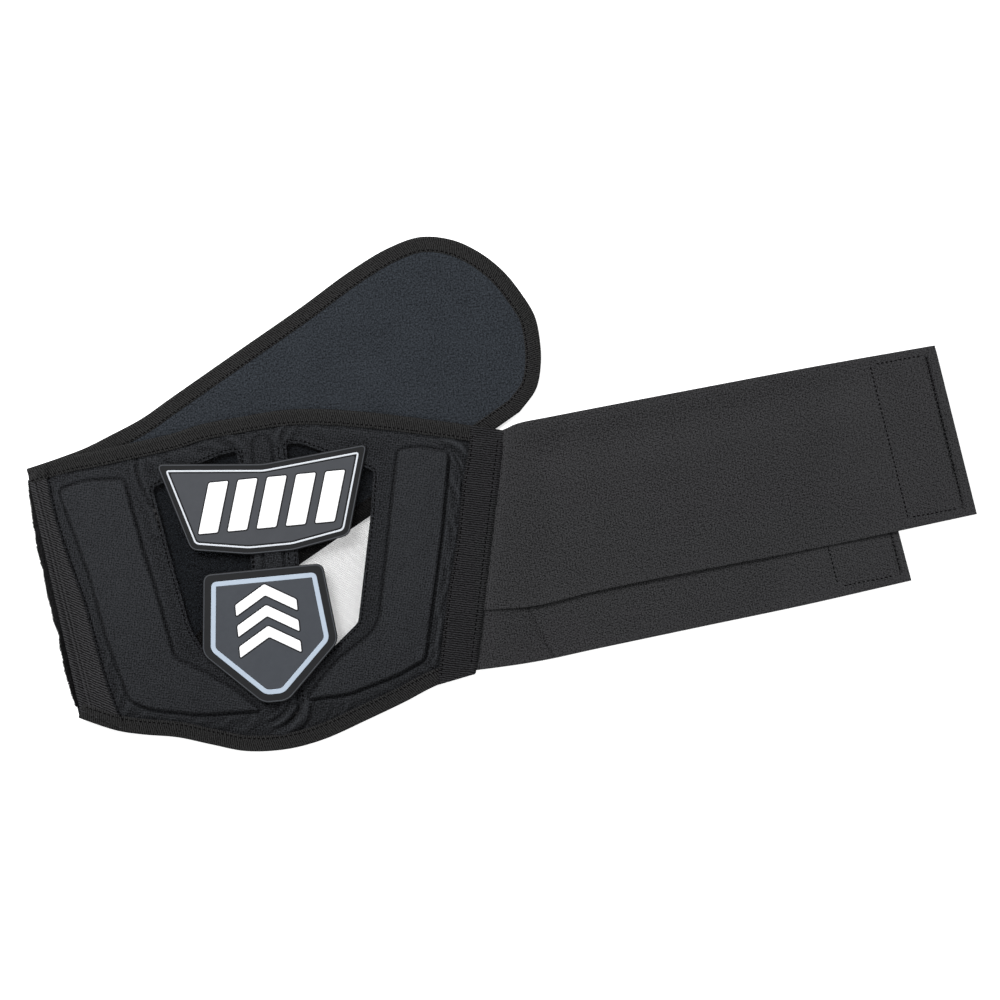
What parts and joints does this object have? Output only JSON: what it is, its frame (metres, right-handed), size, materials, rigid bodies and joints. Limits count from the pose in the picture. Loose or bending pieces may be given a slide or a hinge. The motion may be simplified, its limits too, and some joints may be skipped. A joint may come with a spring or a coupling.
{
  "type": "kidney belt",
  "caption": "Padded kidney belt with moulded pads, mesh windows and rubber badges, elastic straps with hook ends, and a padded loop-faced flap folded behind.",
  "frame": {"origin": "bottom centre of the box of the belt as it lies folded on a table, its loop-faced flap underneath", "axes": "+X from the folded seam towards the strap ends, +Y up the spine of the back panel, +Z away from the table, out of the belt's outer face"},
  "size_m": [0.6789, 0.3572, 0.013],
  "materials": {
    "loop_cloth": "brushed loop pile, warm black",
    "foam": "closed-cell foam, hidden",
    "lining_cloth": "smooth knit, blue-black",
    "binding_tape": "folded woven tape, black",
    "face_cloth": "plain-woven synthetic cloth, charcoal black",
    "mesh_cloth": "sheer knitted mesh, black",
    "side_tape": "ribbed grosgrain tape, black",
    "elastic_webbing": "woven elastic, charcoal grey",
    "hook_tape": "moulded hooks, black",
    "black_rubber": "matt moulded rubber",
    "pale_rubber": "matt moulded rubber",
    "grey_rubber": "matt moulded rubber",
    "white_rubber": "satin moulded rubber",
    "dark_rubber": "matt moulded rubber",
    "blue_grey_rubber": "matt moulded rubber",
    "slate_rubber": "matt moulded rubber"
  },
  "bodies": {
    "flap": {"flap_loop_face": "loop_cloth", "flap_foam": "foam", "flap_lining": "lining_cloth", "flap_binding": "binding_tape", "flap_fold": "loop_cloth"},
    "back_panel": {"panel_lining": "lining_cloth", "panel_foam": "foam", "panel_face": "face_cloth", "window_mesh_left": "mesh_cloth", "window_mesh_right": "mesh_cloth", "pad_insert_left": "foam", "pad_insert_right": "foam", "spine_pad_insert": "foam", "top_binding": "binding_tape", "bottom_binding": "binding_tape", "left_side_tape": "side_tape", "right_side_tape": "side_tape", "lower_strap_root": "elastic_webbing", "upper_strap_root": "elastic_webbing", "badge_base": "black_rubber", "badge_outline": "pale_rubber", "badge_field": "grey_rubber", "badge_bars": "white_rubber", "emblem_base": "dark_rubber", "emblem_ring": "blue_grey_rubber", "emblem_field": "slate_rubber", "emblem_chevrons": "white_rubber"},
    "lower_strap": {"lower_strap_elastic": "elastic_webbing", "lower_strap_hook_patch": "hook_tape"},
    "upper_strap": {"upper_strap_elastic": "elastic_webbing", "upper_strap_hook_patch": "hook_tape"}
  },
  "joints": [
    {"name": "flap_fold_hinge", "type": "hinge", "parent": "flap", "child": "back_panel", "pos_m": [-0.32685, -0.05075, 0.00395], "axis": [0.1098, -0.994, 0], "range_deg": [0, 165], "deforming": ["flap_fold"]},
    {"name": "lower_strap_hinge", "type": "hinge", "parent": "back_panel", "child": "lower_strap", "pos_m": [-0.0119, -0.0515, 0.0096], "axis": [-0.2125, -0.9772, 0], "range_deg": [0, 85]},
    {"name": "upper_strap_hinge", "type": "hinge", "parent": "lower_strap", "child": "upper_strap", "pos_m": [-0.0119, -0.0515, 0.0096], "axis": [-0.2125, -0.9772, 0], "range_deg": [0, 85]}
  ]
}
